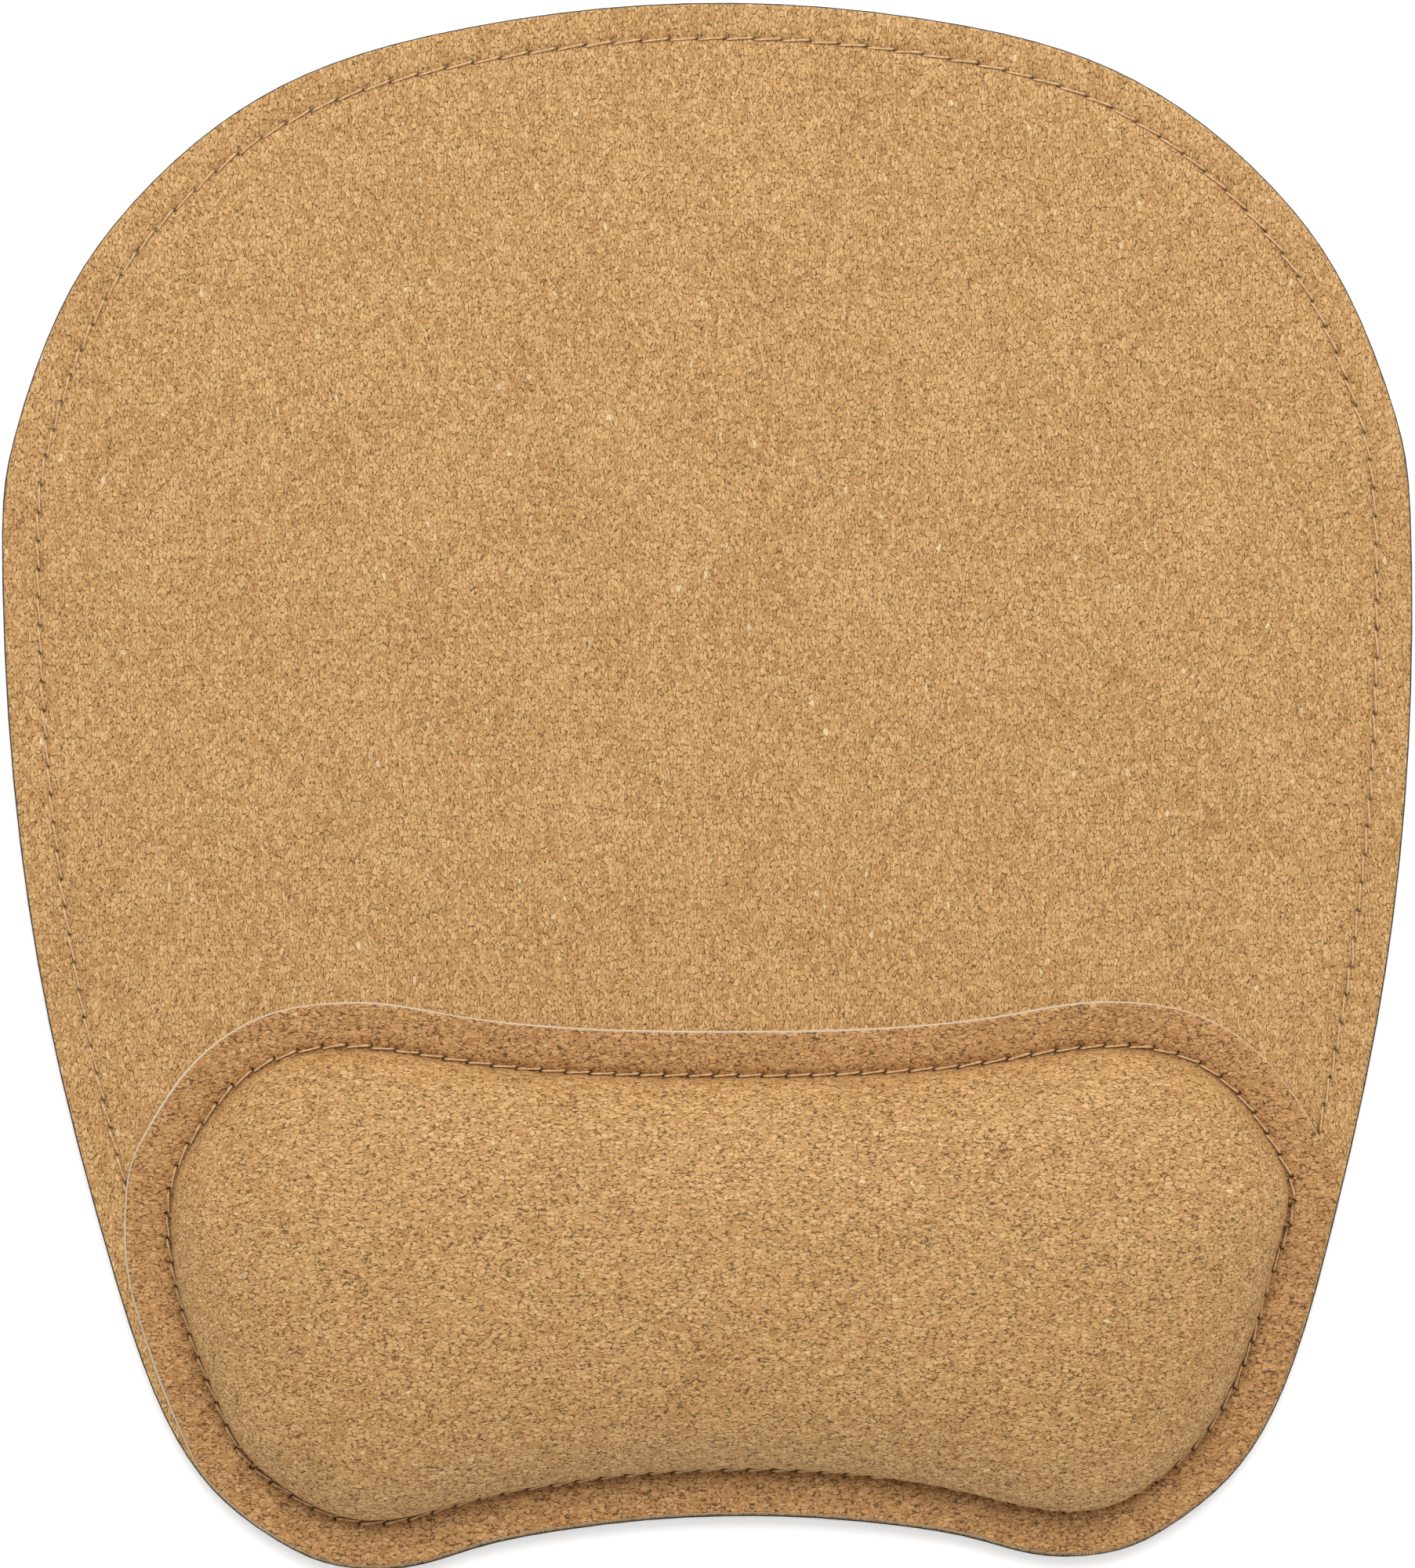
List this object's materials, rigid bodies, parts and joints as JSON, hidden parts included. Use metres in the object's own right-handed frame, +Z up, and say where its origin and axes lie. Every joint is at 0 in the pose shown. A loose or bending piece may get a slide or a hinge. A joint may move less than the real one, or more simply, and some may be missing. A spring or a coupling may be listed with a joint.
{
  "type": "desk mat",
  "caption": "Cork desk mat with a domed far edge, stitched rim and a padded kidney-shaped wrist rest sewn on along its near edge.",
  "frame": {"origin": "on the table surface, under the middle of the mat's overall width and depth", "axes": "+X to the user's right, +Y away from the user towards the domed far edge, +Z up"},
  "size_m": [0.225, 0.249, 0.02],
  "materials": {
    "base_rubber": "matte",
    "core_foam": "matte",
    "backing_fabric": "matte",
    "mat_cork": "matte",
    "thread": "matte",
    "cushion_foam": "matte",
    "rest_cork": "matte"
  },
  "bodies": {
    "root": {"base_sheet": "base_rubber", "core_sheet": "core_foam", "mat_backing": "backing_fabric", "mat_cork": "mat_cork", "edge_needle_thread": "thread", "edge_bobbin_thread": "thread", "rest_foam": "cushion_foam", "rest_backing": "backing_fabric", "rest_cork": "rest_cork", "rest_needle_thread": "thread", "rest_bobbin_thread": "thread"}
  },
  "joints": []
}
